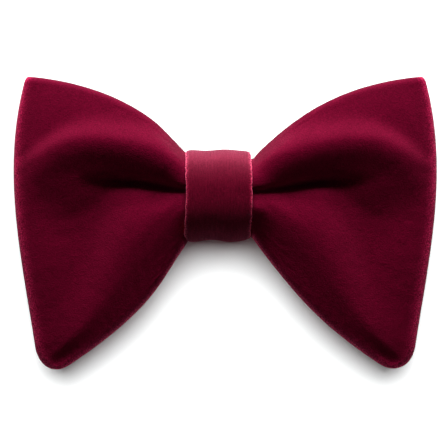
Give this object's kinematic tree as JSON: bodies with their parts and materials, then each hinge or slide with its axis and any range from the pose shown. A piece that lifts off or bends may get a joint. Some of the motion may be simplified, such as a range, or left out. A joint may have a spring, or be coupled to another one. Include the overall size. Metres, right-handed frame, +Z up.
{
  "type": "bow tie",
  "caption": "Pre-tied butterfly bow tie in burgundy velvet, with its adjustable hook-and-eye neckband folded flat behind the wings.",
  "frame": {"origin": "centre of the flat back of the knot, which rests on the collar", "axes": "+Z up as worn, -Y out of the front of the bow, +X to the right of somebody looking at the front"},
  "size_m": [0.1394, 0.0288, 0.0967],
  "materials": {
    "velvet": "matte pile",
    "back_velvet": "matte pile",
    "canvas": "woven",
    "grosgrain": "ribbed satin",
    "thread": "twisted",
    "brass": "polished"
  },
  "bodies": {
    "bow": {"bow_front_panel": "velvet", "bow_back_panel": "back_velvet", "bow_interlining": "canvas", "knot_wrap": "velvet", "knot_lining": "canvas", "knot_stitch_1": "thread", "knot_stitch_2": "thread", "knot_stitch_3": "thread", "knot_stitch_4": "thread", "knot_stitch_5": "thread", "waist_binding": "thread", "neckband_centre": "grosgrain", "left_neckband_tack": "thread", "right_neckband_tack": "thread"},
    "right_middle": {"right_outer_fold": "grosgrain", "right_strap_middle": "grosgrain"},
    "right_end": {"right_inner_fold": "grosgrain", "right_strap_end": "grosgrain"},
    "hook_carrier": {"hook_tape_turn": "grosgrain"},
    "hook_piece": {"hook": "brass"},
    "slider": {"slider_frame": "brass", "slider_tape_loop": "grosgrain", "slider_bartack": "thread", "return_tape": "grosgrain"},
    "left_middle": {"left_outer_fold": "grosgrain", "left_strap_middle": "grosgrain"},
    "left_end": {"left_inner_fold": "grosgrain", "left_strap_end": "grosgrain", "eye_bartack": "thread"},
    "eye_piece": {"eye": "brass"}
  },
  "joints": [
    {"name": "right_unfold", "type": "hinge", "parent": "bow", "child": "right_middle", "pos_m": [0.066, -0.00335, 0], "axis": [0, 0, -1], "range_deg": [0, 180], "deforming": ["right_outer_fold"]},
    {"name": "right_end_unfold", "type": "hinge", "parent": "right_middle", "child": "right_end", "pos_m": [0.015, -0.0004, 0], "axis": [0, 0, 1], "range_deg": [0, 180], "deforming": ["right_inner_fold"]},
    {"name": "lengthen", "type": "slide", "parent": "right_end", "child": "hook_carrier", "axis": [1, 0, 0], "range_m": [0, 0.014]},
    {"name": "slider_travel", "type": "slide", "parent": "hook_carrier", "child": "slider", "axis": [1, 0, 0], "range_m": [0, 0.014], "deforming": ["return_tape"]},
    {"name": "hook_tilt", "type": "hinge", "parent": "hook_carrier", "child": "hook_piece", "pos_m": [0.052, 0.00175, 0], "axis": [0, 0, 1], "range_deg": [-12, 25]},
    {"name": "left_unfold", "type": "hinge", "parent": "bow", "child": "left_middle", "pos_m": [-0.062, -0.00335, 0], "axis": [0, 0, 1], "range_deg": [0, 180], "deforming": ["left_outer_fold"]},
    {"name": "left_end_unfold", "type": "hinge", "parent": "left_middle", "child": "left_end", "pos_m": [-0.015, -0.0004, 0], "axis": [0, 0, -1], "range_deg": [0, 180], "deforming": ["left_inner_fold"]},
    {"name": "eye_tilt", "type": "hinge", "parent": "left_end", "child": "eye_piece", "pos_m": [-0.052, 0.00175, 0], "axis": [0, 0, -1], "range_deg": [-12, 25]}
  ],
  "couplings": [
    {"joint": "right_end_unfold", "follows": "right_unfold", "ratio": 1},
    {"joint": "left_end_unfold", "follows": "left_unfold", "ratio": 1},
    {"joint": "slider_travel", "follows": "lengthen", "ratio": 1}
  ]
}
